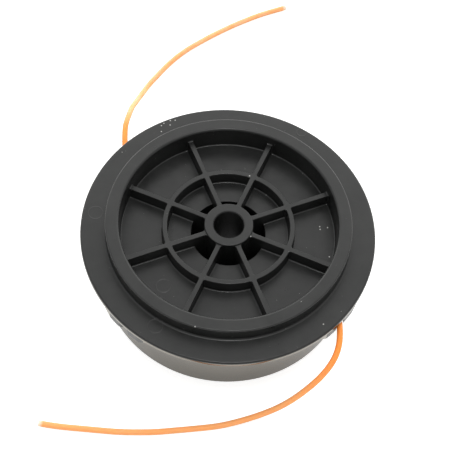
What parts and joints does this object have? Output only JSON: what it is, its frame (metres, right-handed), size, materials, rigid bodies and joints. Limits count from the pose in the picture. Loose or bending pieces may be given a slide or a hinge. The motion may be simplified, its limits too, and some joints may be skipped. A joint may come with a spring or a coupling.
{
  "type": "spool of trimmer line",
  "caption": "Moulded spool wound with round nylon trimmer line: wide flange, raised rim, ribbed recess, plain shaft bore and slanted slots that hold the free line ends.",
  "frame": {"origin": "on the spool's axis, at the level of the surface that it stands on", "axes": "+Z along the bore, towards the ribbed face; -Y towards the side where the front tail lies"},
  "size_m": [0.1046, 0.1899, 0.0341],
  "materials": {
    "black_plastic": "black moulded plastic, satin on the flange, rim and floors, smooth and glossy on the outer walls",
    "nylon_line": "orange drawn nylon, slightly milky, with pale cut ends"
  },
  "bodies": {
    "root": {"spool": "black_plastic", "wound_line": "nylon_line", "line_tail_front": "nylon_line", "line_tail_back": "nylon_line"}
  },
  "joints": []
}
